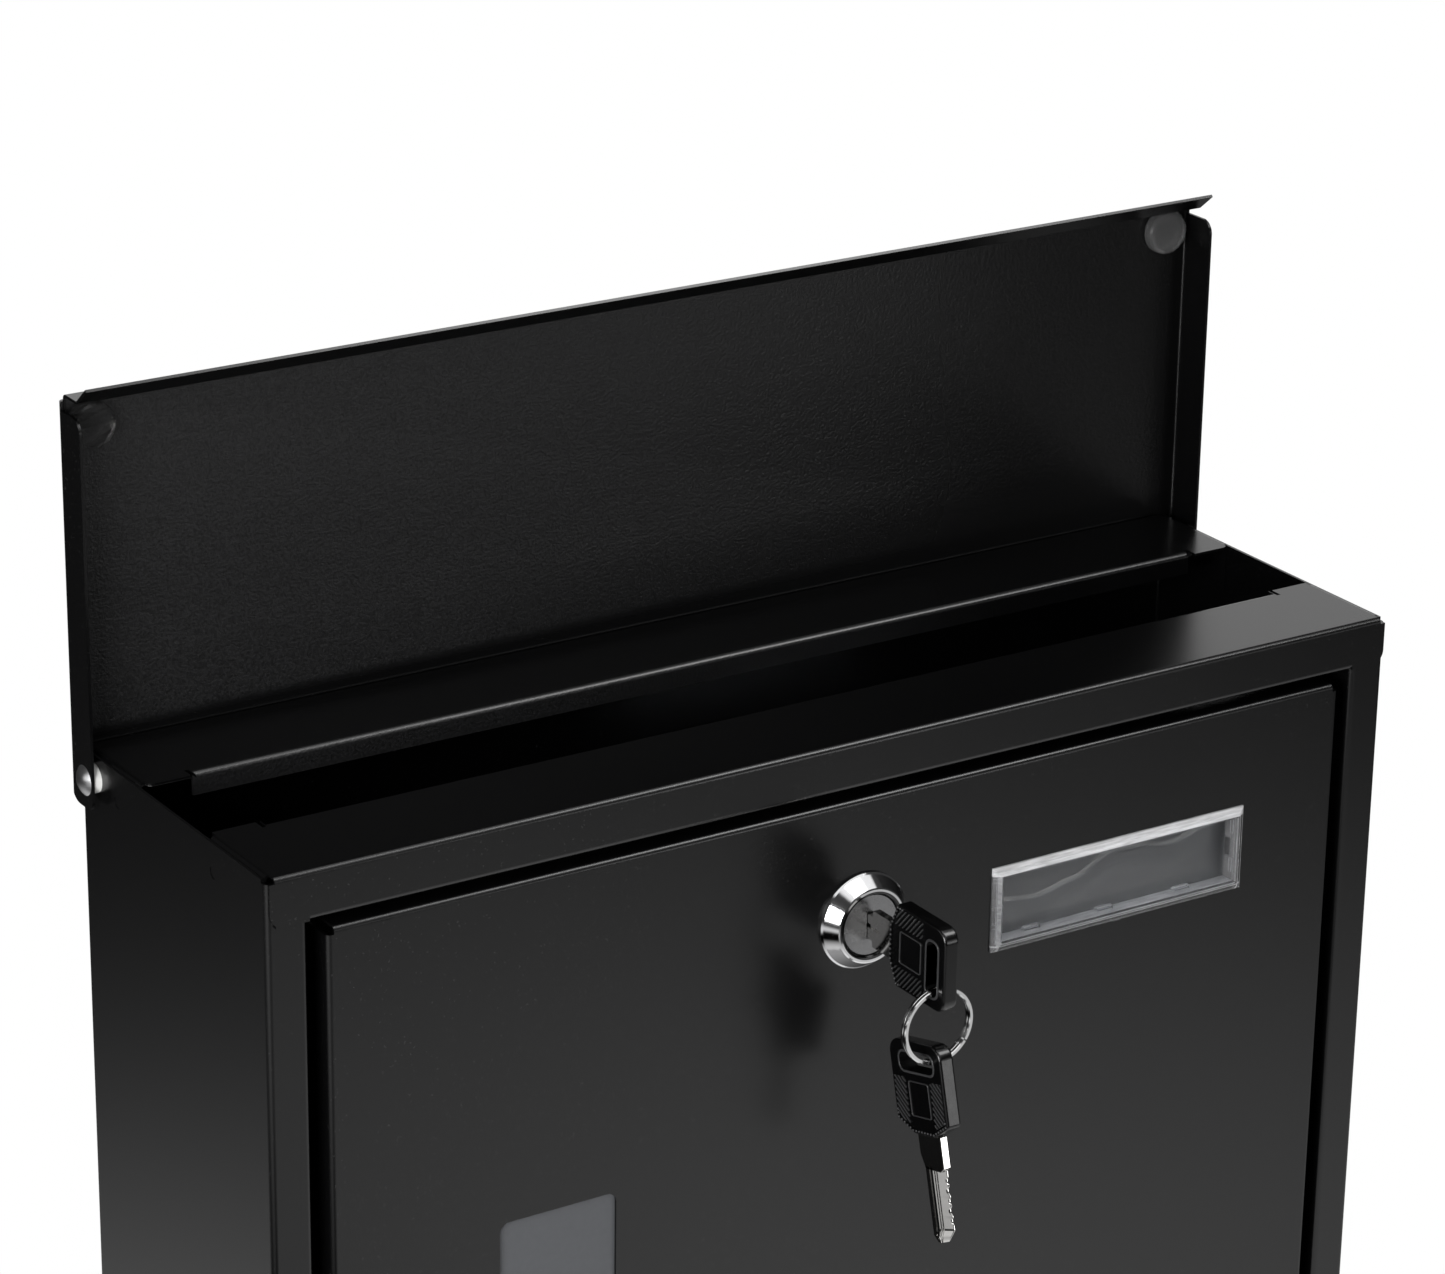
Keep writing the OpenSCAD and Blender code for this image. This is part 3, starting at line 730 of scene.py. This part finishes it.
def makePiece(name, bm, finish, body, stands, smooth=35):
    # turns a mesh drawn in millimetres into a finished piece
    bmesh.ops.recalc_face_normals(bm, faces=bm.faces)
    bmesh.ops.scale(bm, verts=bm.verts, vec=(mm, mm, mm))
    mesh = bpy.data.meshes.new(name)
    bm.to_mesh(mesh)
    bm.free()
    for polygon in mesh.polygons:
        polygon.use_smooth = True
    mesh.set_sharp_from_angle(angle=math.radians(smooth))
    piece = bpy.data.objects.new(name, mesh)
    bpy.context.collection.objects.link(piece)
    mesh.materials.append(finish)
    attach(piece, body)
    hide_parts(stands)
    return piece


def flatShading(piece):
    # flat faces stay flat beside their rounded edges
    even = piece.modifiers.new("even", "WEIGHTED_NORMAL")
    even.keep_sharp = True


lidSizes = {
    # millimetres above the casing
    "edge": 0.2,  # the sheet's lower edge as it comes
    "down": 0.01,  # and as it is brought down
    "corner": -0.75,  # at the two ends
    # millimetres out from the casing's sides: where these ends start and stop
    "cornerFrom": (-2.1, -2.0),
    "cornerTo": 0.4,
    "sheet": 1.2,  # only points this near the wall are moved
    "near": 0.02,
    "smooth": 20,  # degrees
}


def setLid():
    # the same sheet with its lower edge brought down to the casing, so no light shows under it
    s = lidSizes
    bm = bmesh.new()
    bm.from_mesh(nodes["lid_panel"].data)
    bmesh.ops.scale(bm, verts=bm.verts, vec=(1 / mm, 1 / mm, 1 / mm))
    bmesh.ops.remove_doubles(bm, verts=bm.verts, dist=0.002)
    for station in s["cornerFrom"]:
        for side in (-1, 1):
            bmesh.ops.bisect_plane(bm, geom=bm.verts[:] + bm.edges[:] + bm.faces[:],
                                   plane_co=(side * (casingHalf + station), 0, 0), plane_no=(1, 0, 0))
    bmesh.ops.triangulate(bm, faces=[f for f in bm.faces if len(f.verts) > 4])
    for vert in bm.verts:
        above, out = vert.co.z - casingTop, abs(vert.co.x) - casingHalf
        if abs(above - s["edge"]) < s["near"] and vert.co.y > -s["sheet"]:
            atCorner = s["cornerFrom"][1] - s["near"] / 2 < out < s["cornerTo"]
            vert.co.z = casingTop + (s["corner"] if atCorner else s["down"])
    makePiece("lidSheet", bm, finishes["lid_panel"], "lid", "lid_panel", s["smooth"])


setLid()
print("lid made")


bowLow, bowHigh = boxOf("key_bow")

bowSizes = {
    # millimetres: y runs to the blade's tip, z across the key, x through it
    "length": bowHigh[1] - bowLow[1],
    "width": bowHigh[2] - bowLow[2],
    "thick": bowHigh[0] - bowLow[0],
    "lift": 0.6,  # how far the bow's middle lies above the blade's
    "cut": (3.6, 4.6),  # the cut corners: how far along they reach, and how wide the end between them is
    "tipCorner": 0.5,
    "cutCorner": 0.8,
    "corner": 4.0,
    "edge": 0.75,
    "past": 4,  # how far a cutter reaches from the key's middle
    "pocket": ((-8, -4), (2, 4)),  # where the blade's tang sits
    "pocketHalf": 1.12,
    # the ring's slot: its middle, its size along and across, its corners and the raised rim
    "slotMiddle": 20.3,
    "slot": (5.0, 15.6),
    "slotCorner": 1.9,
    "rim": 0.7,
    "rimProud": 0.25,
    "detailEdge": 0.2,
    # the sunk panel: from and to along the key, its narrow end, the bow's border beside it
    "recess": 0.35,
    "panel": (-15.9, -3.9),
    "panelTip": (-1.3, 4.8),
    "panelEdge": 0.9,
    "panelCorner": 0.4,
    "panelEndCorner": 0.6,
    "root": 0.3,  # how far raised details reach under the panel's floor
    # slanted bars on both sides of the panel's middle
    "hatchFrom": 6.0,
    "hatchPitch": 1.2,
    "hatchWide": 0.34,
    "hatchProud": 0.42,
    "hatchTilt": 42,
    "hatchReach": 14,
    "hatchEdge": 0.12,
    "hatchEnd": -0.9,
    "hatchGap": (0.25, 0.1),  # at the panel's end and at its sides
    "hatchSlope": 1.6,
    # the thin frame in the middle: from, to, half its width
    "frame": (-14.9, -5.0, 4.7),
    "frameCorner": 0.8,
    "frameWide": 0.3,
    "frameProud": 0.34,
    # the row of dots along the cut corners, and how its bends lie from those of the bow
    "dotPitch": 1.35,
    "dotSize": 0.34,
    "dotSunk": 0.05,
    "dotInset": 1.0,
    "dotStart": 2.6,
    "dotBend": (0.4, 0.3),
    "wallReach": 0.1,  # how far from the slot its walls may lie
    "near": 0.01,  # points closer than this are at the same height
}


def slotCorners():
    along, across = (size / 2 for size in bowSizes["slot"])
    middle, lift = -bowSizes["slotMiddle"], bowSizes["lift"]
    return (middle - along, -across - lift), (middle + along, across - lift)


def grown(low, high, by):
    return (low[0] - by, low[1] - by), (high[0] + by, high[1] + by)


def panelFloor(side):
    return side * (bowSizes["thick"] / 2 - bowSizes["recess"])


def bowBlank():
    # the bow with its slot, the tang's pocket and a sunk panel on each side
    s = bowSizes
    half = s["width"] / 2
    thick = s["thick"] / 2
    along, across = s["cut"]
    corners = [(0, -across), (0, across), (-along, half), (-s["length"], half),
               (-s["length"], -half), (-along, -half)]
    radii = [s["tipCorner"], s["tipCorner"], s["cutCorner"], s["corner"], s["corner"], s["cutCorner"]]
    blank = outlineBlock(corners, radii, -thick, thick)
    roundEdges(blank, sharpEdges(blank, 60), s["edge"], 4)
    cutters = [
        outlineBlock(rectangle(*slotCorners()), [s["slotCorner"]] * 4, -s["past"], s["past"]),
        outlineBlock(rectangle(*s["pocket"]), [0] * 4, -s["pocketHalf"], s["pocketHalf"]),
    ]
    near, far = s["panel"]
    tip, tipHalf = s["panelTip"]
    edge = half - s["panelEdge"]
    shape = [(near, -edge), (far, -edge), (tip, -tipHalf), (tip, tipHalf), (far, edge), (near, edge)]
    radii = [s["panelEndCorner"], *[s["panelCorner"]] * 4, s["panelEndCorner"]]
    for side in (-1, 1):
        inner, outer = sorted((panelFloor(side), side * s["past"]))
        cutters.append(outlineBlock(shape, radii, inner, outer))
    return cutShape(blank, cutters, "bow")


def slotRim():
    s = bowSizes
    outer = s["thick"] / 2 + s["rimProud"]
    outline = rectangle(*grown(*slotCorners(), s["rim"]))
    ring = outlineRing(outline, [s["slotCorner"] + s["rim"]] * 4, s["rim"], -outer, outer)
    roundEdges(ring, sharpEdges(ring, 60), s["detailEdge"])
    return ring


def hatchBar(side, up, shift):
    # one slanted bar, trimmed to the half of the panel above or below its middle
    s = bowSizes
    half = s["width"] / 2
    top = panelFloor(side) + side * s["hatchProud"]
    low, high = sorted((panelFloor(side) - side * s["root"], top))
    bar = bmesh.new()
    addBox(bar, (low, -s["hatchWide"] / 2, -s["hatchReach"]), (high, s["hatchWide"] / 2, s["hatchReach"]))
    long = [e for e in bar.edges if abs(e.verts[0].co.z - e.verts[1].co.z) > 1]
    roundEdges(bar, [e for e in long if abs(e.verts[0].co.x - top) < s["near"]], s["hatchEdge"], 2)
    bmesh.ops.rotate(bar, verts=bar.verts, cent=(0, 0, 0),
                     matrix=Matrix.Rotation(math.radians(s["hatchTilt"]), 3, "X"))
    middle = (s["panel"][0] + s["panel"][1]) / 2
    bmesh.ops.translate(bar, verts=bar.verts, vec=(0, middle + shift, up * (s["hatchFrom"] + half) / 2))
    endGap, sideGap = s["hatchGap"]
    below, above = sorted((up * s["hatchFrom"], up * (half - s["panelEdge"] - sideGap)))
    slope = Vector((0, half - s["cut"][1], s["cut"][0] * up)).normalized()
    limits = [
        ((0, s["panel"][0] + endGap, 0), (0, -1, 0)),
        ((0, s["hatchEnd"], 0), (0, 1, 0)),
        ((0, 0, below), (0, 0, -1)),
        ((0, 0, above), (0, 0, 1)),
        (Vector((0, -s["cut"][0], half * up)) - slope * s["hatchSlope"], slope),
    ]
    for where, away in limits:
        bmesh.ops.bisect_plane(bar, geom=bar.verts[:] + bar.edges[:] + bar.faces[:],
                               plane_co=where, plane_no=away, clear_outer=True)
        bmesh.ops.holes_fill(bar, edges=[e for e in bar.edges if e.is_boundary], sides=0)
    return bar


def addHatch(bm, side):
    s = bowSizes
    count = int((s["panel"][1] - s["panel"][0] + s["hatchReach"]) / s["hatchPitch"])
    pitch = s["hatchPitch"] / math.cos(math.radians(s["hatchTilt"]))
    for up in (1, -1):
        for k in range(count):
            bar = hatchBar(side, up, (k - count / 2) * pitch)
            if len(bar.faces) > 4:
                joinInto(bm, bar)
            else:
                bar.free()  # trimmed away


def addFrame(bm, side):
    s = bowSizes
    near, far, reach = s["frame"]
    top = panelFloor(side) + side * s["frameProud"]
    low, high = sorted((panelFloor(side) - side * s["root"], top))
    outline = rectangle((near, -reach), (far, reach))
    ring = outlineRing(outline, [s["frameCorner"]] * 4, s["frameWide"], low, high)
    proud = [e for e in sharpEdges(ring, 60) if abs(e.verts[0].co.x - top) < s["near"]]
    roundEdges(ring, proud, s["detailEdge"])
    joinInto(bm, ring)


def addDots(bm, side):
    s = bowSizes
    along, across = s["cut"]
    edge = s["width"] / 2 - s["dotInset"]
    back, out = s["dotBend"]
    upper = [(-along - s["dotStart"], edge), (-along - back, edge), (-s["dotInset"], across + out)]
    route = [Vector(spot) for spot in upper + [(y, -z) for y, z in reversed(upper)]]
    for first, last in zip(route, route[1:]):
        count = max(1, round((last - first).length / s["dotPitch"]))
        for k in range(count):
            spot = first.lerp(last, k / count)
            dot = bmesh.ops.create_uvsphere(bm, u_segments=10, v_segments=6, radius=s["dotSize"])["verts"]
            bmesh.ops.translate(bm, verts=dot, vec=(side * (s["thick"] / 2 - s["dotSunk"]), spot.x, spot.y))


def makeBow():
    bm = bowBlank()
    plain = len(bm.faces)
    joinInto(bm, slotRim())
    for side in (-1, 1):
        addHatch(bm, side)
        addFrame(bm, side)
        addDots(bm, side)
    (lowY, lowZ), (highY, highZ) = grown(*slotCorners(), bowSizes["wallReach"])
    for k, face in enumerate(bm.faces):  # the slot's walls get a darker, duller black as painted shade; raised details a lighter black as painted highlight
        spot = face.calc_center_median()
        inSlot = lowY < spot.y < highY and lowZ < spot.z < highZ
        wall = inSlot and abs(face.normal.x) < 0.3
        face.material_index = 1 if wall else 2 if k >= plain else 0
    bmesh.ops.translate(bm, verts=bm.verts, vec=(0, 0, bowSizes["lift"]))
    return bm


bladeSizes = {
    # millimetres, with the same axes as the bow
    "thick": 2.2,
    "long": 30,
    "edge": 3.6,  # half the milled part's width
    "tang": (-6.5, 4),  # where it starts, half its width
    "shoulder": 5.35,  # half its width
    "shoulderEnd": (5.5, 8.5, 9.8),  # where its upper and its lower slope start, and where both end
    "plateEdge": 0.15,
    "milledFrom": 9,
    "groove": (1.3, 2.0, 0.65),  # from, to, depth
    "grooveLean": 0.15,
    "backGroove": [(0, -2.6), (0, -1.9), (0.6, -1.6), (0.6, -0.6), (0, -0.4)],  # depth and height
    "ridge": 0.3,  # where the slope to the toothed edge starts
    "thin": 0.2,  # how thick that edge is
    "upright": 0.3,  # how high it stands
    "slant": 0.05,  # and how far it leans
    "lines": (0.13, 0.29),  # where the slope has its grooves
    "lineShape": [(-0.09, 0.16), (0.2, 0.1), (0.09, -0.16)],
    "step": 0.35,
    # the teeth: middle and depth of each cut, half the cut's floor, and how high up they reach
    "cuts": [(12.6, 0.6), (15.4, 0.8), (18.2, 0.5), (21, 0.8), (23.8, 0.5)],
    "cutHalf": 0.5,
    "cutTop": -1.0,
    # the tip: how long it is, how far under the middle its prong ends, where and how steeply its top falls
    "tip": 3.6,
    "prong": 0.2,
    "tipTop": (1.8, 1.1),
}


def onSlope(share):
    # a point on the slope from the ridge to the toothed edge
    s = bladeSizes
    x = -s["thick"] / 2 + (s["thick"] - s["thin"]) * share
    return x, s["ridge"] - (s["ridge"] + s["edge"] - s["upright"]) * share


def bladePlate():
    # tang and shoulder
    s = bladeSizes
    half, edge, shoulder = s["thick"] / 2, s["edge"], s["shoulder"]
    start, tang = s["tang"]
    upper, lower, end = s["shoulderEnd"]
    corners = [(start, -tang), (0, -tang), (0, -shoulder), (lower, -shoulder), (end, -edge),
               (end, edge), (upper, shoulder), (0, shoulder), (0, tang), (start, tang)]
    plate = outlineBlock(corners, [0] * len(corners), -half, half)
    flat = [e for e in sharpEdges(plate, 30) if abs(e.verts[0].co.x - e.verts[1].co.x) < 0.01]
    roundEdges(plate, flat, s["plateEdge"], 2)
    return plate


def millSection():
    # the milled part's outline: its left face with the groove, the slope, its back with the wide groove
    s = bladeSizes
    half, edge = s["thick"] / 2, s["edge"]
    low, high, deep = s["groove"]
    left = [(-half, edge), (-half, high), (-half + deep, (low + high) / 2 + s["grooveLean"]), (-half, low)]
    slope = [(-half, s["ridge"])]
    for share in s["lines"]:
        x, z = onSlope(share)
        slope += [(x + dx, z + dz) for dx, dz in s["lineShape"]]
    slope += [onSlope(1), (half - s["thin"] + s["slant"], -edge)]
    back = [(half, -edge)] + [(half - depth, z) for depth, z in s["backGroove"]] + [(half, edge)]
    return left + slope + back


def makeBlade():
    s = bladeSizes
    edge = s["edge"]
    bm = bmesh.new()
    joinInto(bm, bladePlate())
    mill = bmesh.new()
    mill.faces.new([mill.verts.new((x, s["milledFrom"], z)) for x, z in millSection()])
    front = list(mill.faces)
    for k in range(round((s["long"] - s["milledFrom"]) / s["step"])):
        made = bmesh.ops.extrude_face_region(mill, geom=front)["geom"]
        if k:
            bmesh.ops.delete(mill, geom=front, context="FACES_ONLY")  # no walls left inside
        bmesh.ops.translate(mill, verts=vertsOf(made), vec=(0, s["step"], 0))
        front = facesOf(made)
    slopeEnd = onSlope(1)[0]
    for vert in mill.verts:
        y, z = vert.co.y, vert.co.z
        if z < s["cutTop"]:
            bite = max([0] + [depth - max(0, abs(y - middle) - s["cutHalf"]) for middle, depth in s["cuts"]])
            vert.co.z += bite * (s["cutTop"] - z) / (edge + s["cutTop"])
            if abs(vert.co.x - slopeEnd) < 0.001:  # stays on the slope
                vert.co.x = onSlope((s["ridge"] - vert.co.z) / (s["ridge"] + edge - s["upright"]))[0]
        ahead = y - (s["long"] - s["tip"])
        if ahead > 0:  # the tip slopes to its prong
            topFrom, topFall = s["tipTop"]
            low = -edge + ahead * (edge - s["prong"]) / s["tip"]
            high = edge - max(0, ahead - topFrom) * topFall
            vert.co.z = low + (vert.co.z + edge) * (high - low) / (2 * edge)
    joinInto(bm, mill)
    return bm


bladeLow, bladeHigh = boxOf("key_blade")
ringLow, ringHigh = boxOf("key_ring")

keyPlaces = {
    # millimetres from the part's origin
    "lock": (0, bowHigh[1], (bladeLow[2] + bladeHigh[2]) / 2),  # where the blade leaves the bow
    "hook": (0, (ringLow[1] + ringHigh[1]) / 2, ringLow[2] + 0.65),  # where the ring holds the spare key
    "hole": (0, -21.3, -6.3),  # the same spot in the spare key's own axes
    "tilt": 15,  # degrees
}


def hangSpare(bm):
    # from the key's own axes to the ring, tip down
    bmesh.ops.translate(bm, verts=bm.verts, vec=-Vector(keyPlaces["hole"]))
    bmesh.ops.rotate(bm, verts=bm.verts, cent=(0, 0, 0),
                     matrix=Matrix.Rotation(math.radians(-90 - keyPlaces["tilt"]), 3, "X"))
    bmesh.ops.translate(bm, verts=bm.verts, vec=keyPlaces["hook"])
    return bm


def setKeys():
    key = makeBow()
    bmesh.ops.translate(key, verts=key.verts, vec=keyPlaces["lock"])
    spare = hangSpare(makeBow())
    # painted shade for the slot's walls, painted highlight for the raised details
    slotShade = plainPlastic("keySlotPaintedShade", (0.0008, 0.0008, 0.0008), 0.7, 0.3, 1.2)
    raisedHighlight = plainPlastic("keyRaisedPaintedHighlight", (0.03, 0.03, 0.031), 0.3, 0.3)
    for name, bm, body, stands in (("keyBow", key, "key", "key_bow"),
                                   ("spareKeyBow", spare, "spare_key", "spare_key_bow")):
        bow = makePiece(name, bm, finishes["key_plastic"], body, stands)
        bow.data.materials.append(slotShade)
        bow.data.materials.append(raisedHighlight)
        flatShading(bow)
    flatShading(makePiece("spareKeyBlade", hangSpare(makeBlade()), finishes["key_metal"],
                          "spare_key", "spare_key_blade", 12))


setKeys()
print("keys made")


filmSizes = {
    # millimetres
    "thick": 0.3,
    "fold": 0.6,  # how far the film stands out under the crease
    "foldWide": 1.1,
    "fade": 9,  # how softly it falls back further down
    "back": 0.05,  # how far it keeps off the back of its place
    "border": (0.08, 0.1),  # shares of the width and the height that stay flat
    # the crease: share of the width, share of the height
    "crease": [(0.0, 0.55), (0.18, 0.46), (0.34, 0.58), (0.50, 0.86), (0.62, 0.83), (0.75, 0.74),
               (0.9, 0.86), (1.0, 0.97)],
    "steps": (110, 36),
}


def eased(share):
    return share * share * (3 - 2 * share)


def creaseAt(share):
    route = filmSizes["crease"]
    for (x0, z0), (x1, z1) in zip(route, route[1:]):
        if share <= x1:
            return z0 + (z1 - z0) * eased((share - x0) / (x1 - x0))
    return route[-1][1]


def setFilm():
    s = filmSizes
    low, high = boxOf("plate_film")
    wide, tall = high[0] - low[0], high[2] - low[2]
    bm = bmesh.new()
    bmesh.ops.create_grid(bm, x_segments=s["steps"][0], y_segments=s["steps"][1], size=0.5)
    bmesh.ops.rotate(bm, verts=bm.verts, cent=(0, 0, 0), matrix=Matrix.Rotation(math.radians(90), 3, "X"))
    bmesh.ops.scale(bm, verts=bm.verts, vec=(wide, 1, tall))
    bmesh.ops.translate(bm, verts=bm.verts,
                        vec=((low[0] + high[0]) / 2, high[1] - s["back"], (low[2] + high[2]) / 2))
    under = bm.verts.layers.float.new("crease")  # millimetres under the crease, read by the film's finish
    sideBorder, endBorder = s["border"]
    for vert in bm.verts:
        across = (vert.co.x - low[0]) / wide
        up = (vert.co.z - low[2]) / tall
        above = (up - creaseAt(across)) * tall
        vert[under] = -above
        share = min(1, max(0, 0.5 - above / s["foldWide"]))
        rise = s["fold"] * eased(share) * math.exp(-max(0, -above) / s["fade"])
        inward = min(across, 1 - across, sideBorder) / sideBorder * min(up, 1 - up, endBorder) / endBorder
        vert.co.y -= rise * inward
    bmesh.ops.solidify(bm, geom=bm.faces[:], thickness=s["thick"])
    makePiece("plateFilmSheet", bm, finishes["clear_film"], "door", "plate_film", 60)


setFilm()
print("name plate made")

bpy.context.scene.view_settings.view_transform = "Standard"
